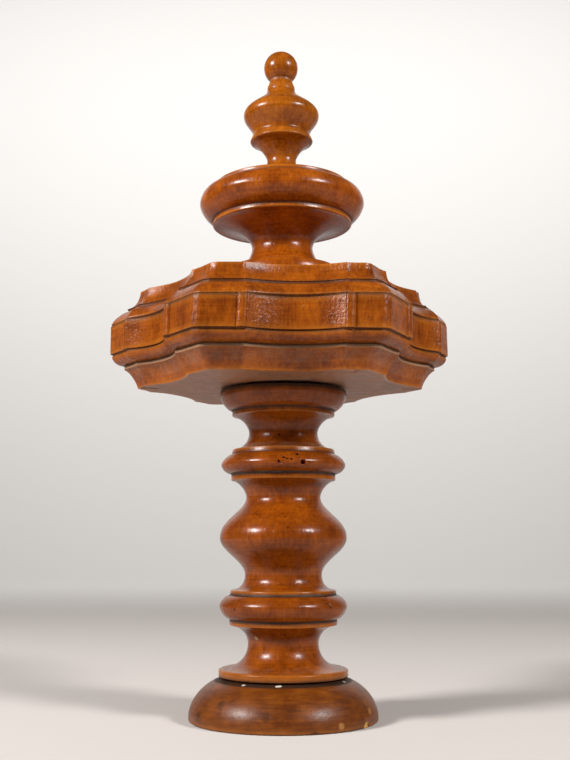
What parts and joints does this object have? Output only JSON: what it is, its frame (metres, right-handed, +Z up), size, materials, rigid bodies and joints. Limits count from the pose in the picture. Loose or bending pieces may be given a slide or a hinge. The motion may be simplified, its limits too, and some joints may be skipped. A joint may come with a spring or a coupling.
{
  "type": "staircase finial",
  "caption": "Turned hardwood staircase finial: domed foot, ringed column, hexagonal moulded plate with scooped sides, mushroom cap and small ball-topped knob.",
  "frame": {"origin": "on the column's axis, at the underside of the foot", "axes": "+Z up along the column; the picture's camera looks along +Y, and +X is to its right"},
  "size_m": [0.1305, 0.1186, 0.2594],
  "materials": {
    "foot_wood": "worn dull varnish",
    "column_wood": "old glossy varnish",
    "plate_wood": "old glossy varnish, crazed",
    "cap_wood": "old glossy varnish",
    "knob_wood": "old glossy varnish"
  },
  "bodies": {
    "root": {"base_foot": "foot_wood", "lower_column": "column_wood", "hexagon_plate": "plate_wood", "cap_and_stem": "cap_wood", "top_knob": "knob_wood"}
  },
  "joints": []
}
